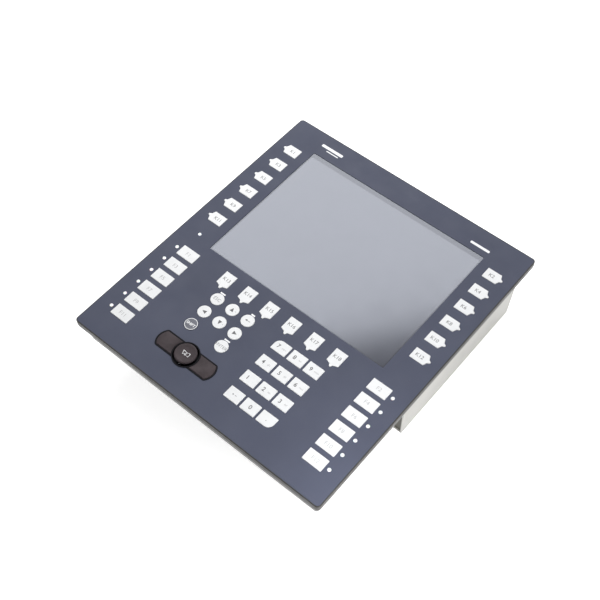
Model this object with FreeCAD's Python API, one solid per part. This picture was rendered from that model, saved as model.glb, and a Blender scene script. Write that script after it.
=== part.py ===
import FreeCAD, Part

import math
import os

# Keypad operator panel for a control cabinet, lying on its back with the face up. Millimetres.
# +Z points out of the face, +Y to the top edge of the face and +X to its right.
# The origin is the middle of the underside, where the rear housing rests.

Vector = FreeCAD.Vector
UP = Vector(0, 0, 1)

# Driving dimensions ---------------------------------------------------------------------------

FRONT_W = 296.0             # front, across
FRONT_H = 333.0             # front, bottom edge to top edge
DEPTH = 72.7                # face to the back of the rear housing
FRONT_CORNER = 4.0          # corner radius of the front

FACE_Z = DEPTH
FOIL = 0.5                  # thickness of the overlay foil
FRAME_DEEP = 6.2            # bezel thickness at its edge
FRAME_SKIN = 2.5            # bezel thickness under the foil
FRAME_EDGE = 4.0            # width of the bezel's solid border
RIM = 1.0                   # painted rim left standing round the foil
FIT = 0.15                  # gap round each moving key
FLANGE = 3.0                # thickness of the tray's flange
GLASS = 3.0                 # touch panel thickness
MODULE_DEEP = 10.5          # display module thickness

FOIL_Z = FACE_Z - FOIL
SKIN_Z = FOIL_Z - FRAME_SKIN
FRAME_Z = FACE_Z - FRAME_DEEP
FLANGE_Z = FRAME_Z - FLANGE
GLASS_Z = FOIL_Z - GLASS
MODULE_Z = GLASS_Z - MODULE_DEEP

TOP_EDGE = FRONT_H / 2      # y of the top edge; the places below are counted down from it
WINDOW_W = 213.7
WINDOW_H = 161.2
WINDOW_Y = TOP_EDGE - 110.1
GLASS_W = 226.0
GLASS_H = 173.0
MODULE_W = 231.0
MODULE_H = 176.0

# Keys
KEY_PROUD = 0.5             # key top above the face
KEY_TRAVEL = 0.4
KEY_BEVEL = 0.25
COLLAR = 0.7                # how far the collar under the bezel reaches past the key
COLLAR_THICK = 0.6
DOME_R = 4.2
DOME_CROWN_R = 2.4
DOME_H = 0.25
NUB_R = 1.5
KEY_TOP = FACE_Z + KEY_PROUD
COLLAR_TOP = SKIN_Z - 0.1
COLLAR_Z = COLLAR_TOP - COLLAR_THICK
BOARD_THICK = 1.6
BOARD_TOP = FRAME_Z + BOARD_THICK
NUB_Z = BOARD_TOP + DOME_H + KEY_TRAVEL + 0.08

F_W = 20.9
F_H = 12.7
F_X = 117.5
F_TOP = TOP_EDGE - 210.0
F_PITCH = 17.9
F_ROWS = 6

SOFT_LONG = 15.4            # straight sides of a soft key
SOFT_SHOULDER = 1.6         # slope from the sides to the light tab
SOFT_TAB = 2.5              # light tab beyond the shoulder
SOFT_TAB_HALF = 2.1
SOFT_TIP_HALF = 0.8
SIDE_SOFT_W = 12.4
SIDE_SOFT_X = 117.3         # straight end nearest the display
SIDE_SOFT_TOP = TOP_EDGE - 43.0
SIDE_SOFT_PITCH = 23.25
LOW_SOFT_W = 13.5
LOW_SOFT_X = 0.25           # the row sits a quarter millimetre right of the centre
LOW_SOFT_Y = TOP_EDGE - 200.7
LOW_SOFT_PITCH = 27.2
SOFT_COUNT = 6

PAD_W = 16.7
PAD_H = 12.7
PAD_X = 41.1
PAD_TOP = TOP_EDGE - 233.0
PAD_X_PITCH = 19.15
PAD_Y_PITCH = 21.45
PAD_CURVE = 6.5             # big corner radius on the first and the last pad key
SMALL_CORNER = 0.6

ROUND_R = 6.75
ROUND_X = -40.6
ROUND_TOP = TOP_EDGE - 230.8
ROUND_X_PITCH = 19.15
ROUND_Y_PITCH = 18.15

LIGHT_R = 1.85
LIGHT_X = 132.6
POWER_LIGHT_X = -125.9
POWER_LIGHT_Y = TOP_EDGE - 184.5

# Pointing device
POINTER_X = -40.4
POINTER_Y = TOP_EDGE - 294.5
POINTER_LONG = 69.2
POINTER_HIGH = 19.9
POINTER_END_R = 13.9        # the bowed ends
POINTER_WALL = 1.4
POINTER_COLLAR_R = 13.5     # round collar of the disc, outside
DISC_R = 10.8
COLLAR_WALL = 0.9
DISC_TOP = FACE_Z + 3.6
DISC_Z = FACE_Z + 1.8       # underside of the disc, clear of the collar when it tips
COLLAR_RIM_Z = FACE_Z + 0.8
PIVOT_Z = FACE_Z - 3.2      # both gimbal axes cross here
PIN_R = 0.8
PIN_END_Y = 12.1            # end of the ring's pins in the housing
BUTTON_TRAVEL = 0.6

# Tray and rear housing
TRAY_W = 282.0
TRAY_H = 319.0
TRAY_Z = DEPTH - 32.0
TRAY_WALL = 2.0
BOX_W = 282.0
BOX_END = -34.0             # open end, closed by the plate with the sockets
BOX_TOP = 157.8             # end wall, at the tray
BOX_LEAN = 5.2              # that wall leans in by this much down to the back
BOX_CORNER = 8.0            # chamfer of the upright corners at that wall
BOX_WALL = 1.5
CLAMP_SLOT = (12.0, 5.0)
CLAMP_Z = 52.0

PLATE_Z = MODULE_Z - 1.5
PILLARS = [(-127.0, -19.0), (127.0, -19.0), (-127.0, 136.0), (127.0, 136.0)]
BOARD_Z = 36.0
BOARD_STANDS = [(-108.0, -18.0), (108.0, -18.0), (-108.0, 126.0), (108.0, 126.0)]

# Socket places along the end plate
END_PLATE_Y = BOX_END + BOX_WALL
END_PLATE_THICK = 1.2
STUD_X = -122.0
STUD_Z = 14.0
POWER_X = -96.0
SERIAL_X = -62.0
NETWORK_X = (-30.0, -10.0)
USB_X = 12.0
CARD_X = 66.0
CARD_W = 43.4
CARD_H = 5.0
CARD_Z = 30.5
DOOR_HINGE_X = 36.5
DOOR_Z = (13.0, 37.5)
DOOR_END_X = 94.0
DOOR_Y = BOX_END - 0.6
DOOR_THICK = 1.6


# Plain shapes ---------------------------------------------------------------------------------

def block(x0, x1, y0, y1, z0, z1):
    return Part.makeBox(x1 - x0, y1 - y0, z1 - z0, Vector(x0, y0, z0))


def drum(x, y, r, z0, z1):
    return Part.makeCylinder(r, z1 - z0, Vector(x, y, z0), UP)


def drum_y(x, z, r, y0, y1):
    return Part.makeCylinder(r, y1 - y0, Vector(x, y0, z), Vector(0, 1, 0))


def drum_x(y, z, r, x0, x1):
    return Part.makeCylinder(r, x1 - x0, Vector(x0, y, z), Vector(1, 0, 0))


def outline_face(points):
    """Flat face from its corner points, in the plane z = 0."""
    corners = [Vector(x, y, 0) for x, y in points]
    return Part.Face(Part.makePolygon(corners + corners[:1]))


def grown(face, by):
    """The same outline moved outwards by a distance, with sharp corners kept sharp."""
    if abs(by) < 1e-9:
        return face
    return face.makeOffset2D(by, 2)


def slab(face, z0, z1):
    """Solid between two heights over a flat outline."""
    solid = face.extrude(Vector(0, 0, z1 - z0))
    solid.translate(Vector(0, 0, z0))
    return solid


def rounded_face(x, y, w, h, radii):
    """Rectangle with its own radius at each corner: lower left, lower right, upper right, upper left."""
    places = [(-1, -1), (1, -1), (1, 1), (-1, 1)]
    turns = [180, 270, 0, 90]
    edges = []
    ends = []
    for (sx, sy), radius, start in zip(places, radii, turns):
        centre = Vector(x + sx * (w / 2 - radius), y + sy * (h / 2 - radius), 0)
        arc = Part.ArcOfCircle(Part.Circle(centre, UP, radius), math.radians(start), math.radians(start + 90))
        edges.append(arc.toShape())
        ends.append((arc.StartPoint, arc.EndPoint))
    sides = []
    for i in range(4):
        sides.append(Part.LineSegment(ends[i][1], ends[(i + 1) % 4][0]).toShape())
    return Part.Face(Part.Wire(Part.__sortEdges__(edges + sides)))


def rounded_slab(x, y, w, h, radius, z0, z1):
    return slab(rounded_face(x, y, w, h, [radius] * 4), z0, z1)


def fuse_all(shapes):
    whole = shapes[0]
    if len(shapes) > 1:
        whole = shapes[0].fuse(shapes[1:])
    return whole.removeSplitter()


def edges_at(shape, z):
    """Edges that lie wholly at one height."""
    return [e for e in shape.Edges if abs(e.BoundBox.ZMin - z) < 1e-5 and abs(e.BoundBox.ZMax - z) < 1e-5]


def save(node, shape):
    shape.exportStep("parts/" + node + ".step")
    print(node, "solids", len(shape.Solids), "valid", shape.isValid(), "volume", round(shape.Volume, 1))


# Key outlines and places ----------------------------------------------------------------------

def soft_outline(x, y, turn, width):
    """A soft key's outline. x, y is the middle of its straight end; turn is where the light tab points."""
    half = width / 2
    shoulder = SOFT_LONG + SOFT_SHOULDER
    tip = shoulder + SOFT_TAB
    run = [(0, -half), (SOFT_LONG, -half), (shoulder, -SOFT_TAB_HALF), (tip, -SOFT_TIP_HALF)]
    run += [(tip, SOFT_TIP_HALF), (shoulder, SOFT_TAB_HALF), (SOFT_LONG, half), (0, half)]
    c = math.cos(math.radians(turn))
    s = math.sin(math.radians(turn))
    return outline_face([(x + a * c - b * s, y + a * s + b * c) for a, b in run])


def soft_middle(x, y, turn):
    reach = SOFT_LONG / 2
    return x + reach * math.cos(math.radians(turn)), y + reach * math.sin(math.radians(turn))


def round_outline(x, y):
    return Part.Face(Part.Wire(Part.Circle(Vector(x, y, 0), UP, ROUND_R).toShape()))


def function_keys():
    """Twelve function keys, odd numbers on the left and even ones on the right."""
    keys = []
    for row in range(F_ROWS):
        for side in (-1, 1):
            x = side * F_X
            y = F_TOP - row * F_PITCH
            number = 2 * row + (1 if side < 0 else 2)
            face = rounded_face(x, y, F_W, F_H, [SMALL_CORNER] * 4)
            keys.append(("function_key_%d" % number, [(face, x, y)]))
    return keys


def soft_key_banks():
    """The soft keys beside and under the display, each row of six as one bank."""
    banks = {"soft_keys_left": [], "soft_keys_right": [], "soft_keys_low": []}
    for i in range(SOFT_COUNT):
        y = SIDE_SOFT_TOP - i * SIDE_SOFT_PITCH
        for side, turn, name in ((-1, 180, "soft_keys_left"), (1, 0, "soft_keys_right")):
            x = side * SIDE_SOFT_X
            banks[name].append((soft_outline(x, y, turn, SIDE_SOFT_W),) + soft_middle(x, y, turn))
        x = LOW_SOFT_X + (i - (SOFT_COUNT - 1) / 2) * LOW_SOFT_PITCH
        banks["soft_keys_low"].append((soft_outline(x, LOW_SOFT_Y, -90, LOW_SOFT_W),)
                                      + soft_middle(x, LOW_SOFT_Y, -90))
    return list(banks.items())


def pad_keys():
    """The number pad, three across and four down."""
    names = ["7", "8", "9", "4", "5", "6", "1", "2", "3", "sign", "0", "point"]
    keys = []
    for i, name in enumerate(names):
        x = PAD_X + (i % 3 - 1) * PAD_X_PITCH
        y = PAD_TOP - (i // 3) * PAD_Y_PITCH
        radii = [SMALL_CORNER] * 4
        if name == "7":
            radii[3] = PAD_CURVE
        if name == "point":
            radii[1] = PAD_CURVE
        keys.append(("pad_key_" + name, [(rounded_face(x, y, PAD_W, PAD_H, radii), x, y)]))
    return keys


def round_keys():
    """The cursor group: three rows of three, with the middle of the last row empty."""
    grid = [["escape", "up", "tab"], ["left", "down", "right"], ["shift", None, "enter"]]
    keys = []
    for row, names in enumerate(grid):
        for column, name in enumerate(names):
            x = ROUND_X + (column - 1) * ROUND_X_PITCH
            y = ROUND_TOP - row * ROUND_Y_PITCH
            if name:
                keys.append(("round_key_" + name, [(round_outline(x, y), x, y)]))
    return keys


def light_places():
    places = [(POWER_LIGHT_X, POWER_LIGHT_Y)]
    for row in range(F_ROWS):
        places += [(-LIGHT_X, F_TOP - row * F_PITCH), (LIGHT_X, F_TOP - row * F_PITCH)]
    return places


# Keys -----------------------------------------------------------------------------------------

def key_solid(face, x, y):
    """A key: cap through the bezel, collar that stops it under the bezel, and a nub over its dome."""
    cap = slab(face, COLLAR_TOP, KEY_TOP)
    cap = cap.makeChamfer(KEY_BEVEL, edges_at(cap, KEY_TOP))
    collar = slab(grown(face, COLLAR), COLLAR_Z, COLLAR_TOP)
    nub = drum(x, y, NUB_R, NUB_Z, COLLAR_Z)
    return fuse_all([cap, collar, nub])


def key_holes(keys, gap, z0, z1):
    holes = []
    for name, group in keys:
        for face, x, y in group:
            holes.append(slab(grown(face, gap), z0, z1))
    return holes


def snap_domes(keys):
    """Low metal domes on the board, drawn in the pressed shape that leaves the nub its stroke."""
    domes = []
    for name, group in keys:
        for face, x, y in group:
            domes.append(Part.makeCone(DOME_R, DOME_CROWN_R, DOME_H, Vector(x, y, BOARD_TOP), UP))
    return domes


# Front ----------------------------------------------------------------------------------------

def pointer_outline(inset):
    """Bar with bowed ends, drawn in by the given distance."""
    half = POINTER_LONG / 2 - inset
    high = POINTER_HIGH / 2 - inset
    radius = POINTER_END_R - inset
    reach = half - radius + math.sqrt(radius ** 2 - high ** 2)
    lower_right = Vector(reach, -high, 0)
    upper_right = Vector(reach, high, 0)
    upper_left = Vector(-reach, high, 0)
    lower_left = Vector(-reach, -high, 0)
    edges = [
        Part.LineSegment(lower_left, lower_right),
        Part.Arc(lower_right, Vector(half, 0, 0), upper_right),
        Part.LineSegment(upper_right, upper_left),
        Part.Arc(upper_left, Vector(-half, 0, 0), lower_left),
    ]
    face = Part.Face(Part.Wire([e.toShape() for e in edges]))
    face.translate(Vector(POINTER_X, POINTER_Y, 0))
    return face


def pointer_bar(inset, z0, z1, corner=0.0):
    bar = slab(pointer_outline(inset), z0, z1)
    if corner:
        upright = [e for e in bar.Edges if abs(e.BoundBox.ZLength - (z1 - z0)) < 1e-5]
        bar = bar.makeFillet(corner, upright)
    return bar


def pointer_block(gap, z0, z1):
    """Outer form of the whole pointing device: the bar with its round middle."""
    return fuse_all([
        pointer_bar(-gap, z0, z1, 2.5),
        drum(POINTER_X, POINTER_Y, POINTER_COLLAR_R + gap, z0, z1),
    ])


def front_overlay(keys):
    rim = RIM + 0.1
    foil = rounded_slab(0, 0, FRONT_W - 2 * rim, FRONT_H - 2 * rim, FRONT_CORNER - RIM, FOIL_Z, FACE_Z)
    cuts = key_holes(keys, FIT, FOIL_Z - 1, FACE_Z + 1)
    cuts.append(rounded_slab(0, WINDOW_Y, WINDOW_W, WINDOW_H, 0.8, FOIL_Z - 1, FACE_Z + 1))
    cuts += [drum(x, y, LIGHT_R + 0.05, FOIL_Z - 1, FACE_Z + 1) for x, y in light_places()]
    cuts.append(pointer_block(0.05, FOIL_Z - 1, FACE_Z + 1))
    return foil.cut(cuts)


def front_frame(keys):
    body = rounded_slab(0, 0, FRONT_W, FRONT_H, FRONT_CORNER, FRAME_Z, FACE_Z)
    body = body.makeChamfer(0.45, edges_at(body, FACE_Z))
    inner_w = FRONT_W - 2 * FRAME_EDGE
    inner_h = FRONT_H - 2 * FRAME_EDGE
    cuts = [
        rounded_slab(0, 0, FRONT_W - 2 * RIM, FRONT_H - 2 * RIM, FRONT_CORNER - RIM + 0.1, FOIL_Z, FACE_Z + 1),
        rounded_slab(0, 0, inner_w, inner_h, 2.0, FRAME_Z - 1, SKIN_Z),
        rounded_slab(0, WINDOW_Y, GLASS_W + 0.5, GLASS_H + 0.5, 1.2, SKIN_Z - 1, FACE_Z + 1),
        pointer_block(0.1, SKIN_Z - 1, FACE_Z + 1),
    ]
    cuts += key_holes(keys, FIT, SKIN_Z - 1, FACE_Z + 1)
    cuts += [drum(x, y, LIGHT_R + 0.05, SKIN_Z - 1, FACE_Z + 1) for x, y in light_places()]
    return body.cut(cuts)


def touch_panel():
    return rounded_slab(0, WINDOW_Y, GLASS_W, GLASS_H, 1.0, GLASS_Z, FOIL_Z)


def lcd_module():
    """Display unit: stepped metal frame round a slightly smaller back part."""
    front = rounded_slab(0, WINDOW_Y, MODULE_W, MODULE_H, 1.5, GLASS_Z - 4.0, GLASS_Z)
    back = rounded_slab(0, WINDOW_Y, MODULE_W - 8, MODULE_H - 8, 1.5, MODULE_Z, GLASS_Z - 4.0)
    screen = rounded_slab(0, WINDOW_Y, WINDOW_W - 1, WINDOW_H - 1, 0.5, GLASS_Z - 0.6, GLASS_Z + 1)
    return fuse_all([front, back]).cut(screen)


def keypad_board(keys):
    """U-shaped circuit board round the display, with a hole for the pointing device and the keys' domes."""
    board_w = FRONT_W - 2 * FRAME_EDGE - 1
    board_h = FRONT_H - 2 * FRAME_EDGE - 1
    board = rounded_slab(0, 0, board_w, board_h, 1.5, FRAME_Z, BOARD_TOP)
    opening_low = WINDOW_Y - MODULE_H / 2 - 0.5
    half = MODULE_W / 2 + 0.5
    opening = block(-half, half, opening_low, FRONT_H, FRAME_Z - 1, BOARD_TOP + 1)
    board = board.cut([opening, pointer_block(0.3, FRAME_Z - 1, BOARD_TOP + 1)])
    return Part.makeCompound([board] + snap_domes(keys))


def light_lenses():
    lenses = []
    for x, y in light_places():
        stem = drum(x, y, LIGHT_R, SKIN_Z, FACE_Z + 0.2)
        stem = stem.makeFillet(0.35, edges_at(stem, FACE_Z + 0.2))
        foot = drum(x, y, LIGHT_R + 0.6, SKIN_Z - 0.7, SKIN_Z)
        lenses.append(fuse_all([stem, foot]))
    return Part.makeCompound(lenses)


# Pointing device ------------------------------------------------------------------------------

def pointer_housing():
    """Black surround: the two ends of a bar-shaped tub, and between them a deeper well with a raised collar."""
    rim_z = FACE_Z + 0.4
    well_z = FRAME_Z - 2.0
    floor = 1.2
    inner_r = POINTER_COLLAR_R - COLLAR_WALL
    tub = pointer_bar(0, FRAME_Z, rim_z, 2.5)
    tub = tub.cut(pointer_bar(POINTER_WALL, FRAME_Z + floor, rim_z + 1, 1.5))
    tub = tub.cut(drum(POINTER_X, POINTER_Y, POINTER_COLLAR_R, well_z, COLLAR_RIM_Z))
    well = drum(POINTER_X, POINTER_Y, POINTER_COLLAR_R, well_z, COLLAR_RIM_Z)
    well = well.cut(drum(POINTER_X, POINTER_Y, inner_r, well_z + floor, COLLAR_RIM_Z + 1))
    for side in (-1, 1):
        edge = POINTER_Y + side * (inner_r + 0.3)
        near = POINTER_Y + side * (inner_r - 2.2)
        boss = block(POINTER_X - 1.8, POINTER_X + 1.8, min(edge, near), max(edge, near),
                     well_z + floor, PIVOT_Z + 1.5)
        well = well.fuse(boss)
        pin_end = POINTER_Y + side * (PIN_END_Y + 0.1)
        well = well.cut(drum_y(POINTER_X, PIVOT_Z, PIN_R + 0.05, min(POINTER_Y, pin_end), max(POINTER_Y, pin_end)))
    return Part.makeCompound(tub.Solids + [well.removeSplitter()])


def pointer_gimbal_ring():
    """Ring between disc and housing. Its pins lie along Y, and its two holes take the disc's pins along X."""
    outer = 8.8
    inner = 7.0
    half = 1.2
    ring = drum(POINTER_X, POINTER_Y, outer, PIVOT_Z - half, PIVOT_Z + half)
    ring = ring.cut(drum(POINTER_X, POINTER_Y, inner, PIVOT_Z - half - 1, PIVOT_Z + half + 1))
    pins = [
        drum_y(POINTER_X, PIVOT_Z, PIN_R, POINTER_Y + inner + 0.6, POINTER_Y + PIN_END_Y),
        drum_y(POINTER_X, PIVOT_Z, PIN_R, POINTER_Y - PIN_END_Y, POINTER_Y - inner - 0.6),
    ]
    ring = ring.fuse(pins)
    bore = drum_x(POINTER_Y, PIVOT_Z, PIN_R + 0.05, POINTER_X - outer - 1, POINTER_X + outer + 1)
    return ring.cut(bore).removeSplitter()


def pointer_disc():
    """Thumb disc with a shallow dish in its top."""
    cap = drum(POINTER_X, POINTER_Y, DISC_R, DISC_Z, DISC_TOP)
    cap = cap.makeFillet(0.8, edges_at(cap, DISC_TOP))
    dish_r = 45.0
    dish_deep = 1.0
    dish = Part.makeSphere(dish_r, Vector(POINTER_X, POINTER_Y, DISC_TOP - dish_deep + dish_r))
    return cap.cut(dish)


def pointer_stem():
    """Stem with a flange that backs the disc, and two pins along X at the pivot height."""
    stem = drum(POINTER_X, POINTER_Y, 3.2, PIVOT_Z - 1.3, DISC_Z)
    flange = drum(POINTER_X, POINTER_Y, DISC_R - 0.4, DISC_Z - 0.9, DISC_Z)
    reach = 8.6
    pins = drum_x(POINTER_Y, PIVOT_Z, PIN_R, POINTER_X - reach, POINTER_X + reach)
    return fuse_all([stem, flange, pins])


def pointer_button(side):
    """Click button beside the disc: a cap that fills its end of the tub, on a short stem."""
    top = COLLAR_RIM_Z
    under = FACE_Z - 0.9
    cap = pointer_bar(POINTER_WALL + FIT, under, top, 1.4)
    mid = POINTER_X + side * (POINTER_COLLAR_R + FIT)
    far = POINTER_X + side * POINTER_LONG
    keep = block(min(mid, far), max(mid, far), POINTER_Y - 20, POINTER_Y + 20, under - 1, top + 1)
    around = drum(POINTER_X, POINTER_Y, POINTER_COLLAR_R + 0.25, under - 1, top + 1)
    left_of_middle = block(min(POINTER_X, far), max(POINTER_X, far), POINTER_Y - 20, POINTER_Y + 20,
                           under - 1, top + 1)
    cap = cap.common(left_of_middle).cut(around)
    cap = cap.makeFillet(0.45, edges_at(cap, top))
    x = POINTER_X + side * 23.5
    stem = drum(x, POINTER_Y, 3.0, FRAME_Z + 1.2 + BUTTON_TRAVEL + 0.1, under)
    return fuse_all([cap, stem])


# Tray, gasket and chassis ---------------------------------------------------------------------

def clamp_slots():
    """Places of the slots in the tray's walls that mounting clamps hook into: (x, y, wall runs along X)."""
    long_wall = TRAY_W / 2 - TRAY_WALL / 2
    end_wall = TRAY_H / 2 - TRAY_WALL / 2
    places = []
    for sx in (-1, 1):
        for y in (-100.0, 100.0):
            places.append((sx * long_wall, y, False))
    for sy in (-1, 1):
        for x in (-85.0, 85.0):
            places.append((x, sy * end_wall, True))
    return places


def chassis_tray():
    flange = rounded_slab(0, 0, FRONT_W - 1, FRONT_H - 1, FRONT_CORNER - 0.5, FLANGE_Z, FRAME_Z)
    shell = rounded_slab(0, 0, TRAY_W, TRAY_H, 3.0, TRAY_Z, FLANGE_Z)
    inside = rounded_slab(0, 0, TRAY_W - 2 * TRAY_WALL, TRAY_H - 2 * TRAY_WALL, 1.5, TRAY_Z + TRAY_WALL, FLANGE_Z)
    body = flange.fuse(shell.cut(inside))
    back_low = BOX_END + 4.0
    back_high = BOX_TOP - 8.0
    half = BOX_W / 2 - 6.0
    cuts = [
        block(-half, half, back_low, back_high, TRAY_Z - 1, TRAY_Z + TRAY_WALL + 1),
        rounded_slab(0, WINDOW_Y, MODULE_W + 2, MODULE_H + 2, 2.0, FLANGE_Z - 1, FRAME_Z + 1),
        drum(POINTER_X, POINTER_Y, POINTER_COLLAR_R + 0.3, FLANGE_Z - 1, FRAME_Z + 1),
    ]
    long, high = CLAMP_SLOT
    for x, y, along_x in clamp_slots():
        wx = long / 2 if along_x else 3.0
        wy = 3.0 if along_x else long / 2
        cuts.append(block(x - wx, x + wx, y - wy, y + wy, CLAMP_Z - high / 2, CLAMP_Z + high / 2))
    body = body.cut(cuts)
    bosses = [drum(x, y, 3.5, PLATE_Z + 1.5, FLANGE_Z) for x, y in plate_bosses()]
    return body.fuse(bosses).removeSplitter()


def plate_bosses():
    return [(sx * 126.0, WINDOW_Y + dy) for sx in (-1, 1) for dy in (-62.0, 0.0, 62.0)]


def panel_gasket():
    """Foam seal behind the flange, round the tray."""
    seal_z = FLANGE_Z - 1.8
    outer = rounded_slab(0, 0, FRONT_W - 5, FRONT_H - 5, 3.0, seal_z, FLANGE_Z)
    return outer.cut(rounded_slab(0, 0, TRAY_W + 1, TRAY_H + 1, 3.0, seal_z - 1, FLANGE_Z + 1))


def chassis_plate():
    """Steel plate behind the display, with four long pillars for the housing screws and four board stands."""
    low = WINDOW_Y - MODULE_H / 2 - 4
    high = WINDOW_Y + MODULE_H / 2 + 4
    plate = rounded_slab(0, (low + high) / 2, 264.0, high - low, 3.0, PLATE_Z, PLATE_Z + 1.5)
    pillars = []
    for x, y in PILLARS:
        pillar = drum(x, y, 3.5, BOX_WALL, PLATE_Z)
        pillars.append(pillar.cut(drum(x, y, 1.55, BOX_WALL - 1, BOX_WALL + 10)))
    stands = [drum(x, y, 3.0, BOARD_Z + BOARD_THICK, PLATE_Z) for x, y in BOARD_STANDS]
    return fuse_all([plate] + pillars + stands)


def main_board():
    """Main circuit board with a finned heat sink, capacitors, coil and battery on its back."""
    board = block(-118, 118, END_PLATE_Y + END_PLATE_THICK + 0.3, 138, BOARD_Z, BOARD_Z + BOARD_THICK)
    items = []
    sink_x = -20.0
    sink_y = 70.0
    items.append(block(sink_x - 26, sink_x + 26, sink_y - 26, sink_y + 26, BOARD_Z - 4, BOARD_Z))
    for i in range(9):
        x = sink_x - 24.8 + i * 6.0
        items.append(block(x, x + 1.6, sink_y - 26, sink_y + 26, BOARD_Z - 20, BOARD_Z - 3.5))
    for i in range(4):
        items.append(drum(-98 + i * 14.0, 30, 5.0, BOARD_Z - 16, BOARD_Z))
    items.append(block(-104, -84, 52, 72, BOARD_Z - 9, BOARD_Z))
    items.append(drum(90, 100, 10.0, BOARD_Z - 3.4, BOARD_Z))
    for i in range(3):
        items.append(block(38 + i * 22.0, 54 + i * 22.0, 40, 66, BOARD_Z - 1.8, BOARD_Z))
    return fuse_all([board] + items)


# Rear housing and its end plate ---------------------------------------------------------------

def housing_outline(inset, z0, z1):
    """Deep box. The end away from the sockets leans in towards the back and has chamfered corners."""
    half = BOX_W / 2 - inset
    low = BOX_END + inset
    cut = BOX_CORNER - inset * (2 - math.sqrt(2))
    slope = BOX_LEAN / TRAY_Z
    high = BOX_TOP - inset
    corners = [Vector(-half, low, z0), Vector(-half, high - slope * (TRAY_Z - z0), z0)]
    corners += [Vector(-half, high - slope * (TRAY_Z - z1), z1), Vector(-half, low, z1)]
    side = Part.Face(Part.makePolygon(corners + corners[:1]))
    body = side.extrude(Vector(2 * half, 0, 0))
    upright = [e for e in body.Edges if abs(e.BoundBox.ZLength - (z1 - z0)) < 1e-5]
    return body.makeChamfer(cut, [e for e in upright if e.BoundBox.YMin > low + 1])


def rear_cover():
    """Folded cover, open at the socket end, with vent slots and countersunk screw holes."""
    body = housing_outline(0, 0, TRAY_Z)
    foot = [e for e in body.Edges if e.BoundBox.ZMax < 1e-5]
    body = body.makeFillet(1.4, foot)
    cuts = [housing_outline(BOX_WALL, BOX_WALL, TRAY_Z + 1)]
    half = BOX_W / 2 - BOX_WALL
    cuts.append(block(-half, half, BOX_END - 1, BOX_END + BOX_WALL + 0.5, BOX_WALL, TRAY_Z + 1))
    for side in (-1, 1):
        for i in range(12):
            x = side * (26.0 + i * 6.5)
            cuts.append(block(x - 1.2, x + 1.2, 96, 132, -1, BOX_WALL + 1))
    for side in (-1, 1):
        for i in range(10):
            x = side * (20.0 + i * 9.0)
            cuts.append(block(x - 1.2, x + 1.2, BOX_TOP - 12, BOX_TOP + 1, 12, 32))
    body = body.cut(cuts)
    sinks = []
    for x, y in PILLARS:
        sinks.append(drum(x, y, 1.7, -1, BOX_WALL + 1))
        sinks.append(Part.makeCone(3.05, 1.7, 1.35, Vector(x, y, 0.0), UP))
    return body.cut(sinks)


def cover_screws():
    """Four countersunk screws with a cross recess, sunk just below the rear face."""
    screws = []
    for x, y in PILLARS:
        head = Part.makeCone(2.85, 1.5, 1.35, Vector(x, y, 0.1), UP)
        shank = drum(x, y, 1.5, 1.3, 10.0)
        screw = head.fuse(shank)
        cross = [
            block(x - 1.5, x + 1.5, y - 0.3, y + 0.3, -1, 0.9),
            block(x - 0.3, x + 0.3, y - 1.5, y + 1.5, -1, 0.9),
        ]
        screws.append(screw.cut(cross).removeSplitter())
    return Part.makeCompound(screws)


def connector_plate():
    """Steel plate that closes the socket end, with the socket holes and two hinge ears for the door."""
    y0 = END_PLATE_Y
    y1 = END_PLATE_Y + END_PLATE_THICK
    half = BOX_W / 2 - BOX_WALL - 0.3
    plate = block(-half, half, y0, y1, BOX_WALL, TRAY_Z)
    through = (y0 - 1, y1 + 1)
    cuts = [
        block(POWER_X - 9.2, POWER_X + 9.2, *through, 22.8, BOARD_Z + 0.2),
        block(SERIAL_X - 9.4, SERIAL_X + 9.4, *through, 24.3, 34.1),
        block(USB_X - 7.4, USB_X + 7.4, *through, 27.8, BOARD_Z + 0.2),
        block(CARD_X - 25.2, CARD_X + 25.2, *through, CARD_Z - 4.0, BOARD_Z + 0.2),
    ]
    for x in NETWORK_X:
        cuts.append(block(x - 8.2, x + 8.2, *through, 22.0, BOARD_Z + 0.2))
    cuts.append(drum_y(STUD_X, STUD_Z, 2.0, *through))
    plate = plate.cut(cuts)
    ears = []
    for z0, z1 in ((DOOR_Z[0] - 2.4, DOOR_Z[0] - 0.3), (DOOR_Z[1] + 0.3, DOOR_Z[1] + 2.4)):
        ear = block(DOOR_HINGE_X - 2.2, DOOR_HINGE_X + 2.2, DOOR_Y - 2.2, y0, z0, z1)
        ears.append(ear)
    body = plate.fuse(ears)
    bore = drum(DOOR_HINGE_X, DOOR_Y, 1.05, DOOR_Z[0] - 3, DOOR_Z[1] + 3)
    return body.cut(bore).removeSplitter()


def card_door():
    """Door over the card slot, with its own hinge barrel and pins, and a finger lip at the free end."""
    y0 = DOOR_Y - DOOR_THICK / 2
    panel = block(DOOR_HINGE_X, DOOR_END_X, y0, y0 + DOOR_THICK, *DOOR_Z)
    lip = block(DOOR_END_X - 3.0, DOOR_END_X, y0 - 1.2, y0, DOOR_Z[0] + 5, DOOR_Z[1] - 5)
    barrel = drum(DOOR_HINGE_X, DOOR_Y, 1.6, *DOOR_Z)
    pin = drum(DOOR_HINGE_X, DOOR_Y, 1.0, DOOR_Z[0] - 2.0, DOOR_Z[1] + 2.0)
    grips = [block(DOOR_END_X - 12 + i * 2.2, DOOR_END_X - 11 + i * 2.2, y0 - 0.4, y0, DOOR_Z[0] + 5,
                   DOOR_Z[1] - 5) for i in range(4)]
    return fuse_all([panel, lip, barrel, pin] + grips)


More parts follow.
